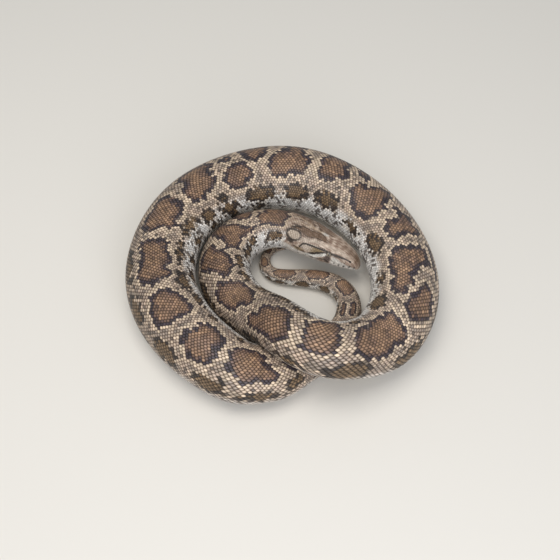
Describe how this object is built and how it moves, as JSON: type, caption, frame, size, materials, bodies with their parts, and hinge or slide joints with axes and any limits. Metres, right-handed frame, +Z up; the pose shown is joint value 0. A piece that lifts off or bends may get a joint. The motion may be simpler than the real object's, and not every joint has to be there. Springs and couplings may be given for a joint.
{
  "type": "coiled python",
  "caption": "Life-size still model of a stout blotched python resting in one flat coil, its head raised a little in the middle and its tail curled under the neck.",
  "frame": {"origin": "on the floor, under the middle of the coil's bounding box", "axes": "+Z up, with the belly on the floor at z = 0; +X towards the side that the snout points to, +Y away from the length that climbs over the rear of the trunk"},
  "size_m": [0.4563, 0.4553, 0.118],
  "materials": {
    "head_skin": "satin, smooth head plates",
    "body_skin": "satin, small overlapping scales with dark blotches",
    "eye": "gloss, under a clear spectacle"
  },
  "bodies": {
    "root": {"head": "head_skin", "lower_jaw": "head_skin", "eye_left": "eye", "eye_right": "eye", "neck": "body_skin", "trunk_01": "body_skin", "trunk_02": "body_skin", "trunk_03": "body_skin", "trunk_04": "body_skin", "trunk_05": "body_skin", "trunk_06": "body_skin", "trunk_07": "body_skin", "trunk_08": "body_skin", "trunk_09": "body_skin", "trunk_10": "body_skin", "trunk_11": "body_skin", "tail_1": "body_skin", "tail_2": "body_skin", "tail_3": "body_skin"}
  },
  "joints": []
}
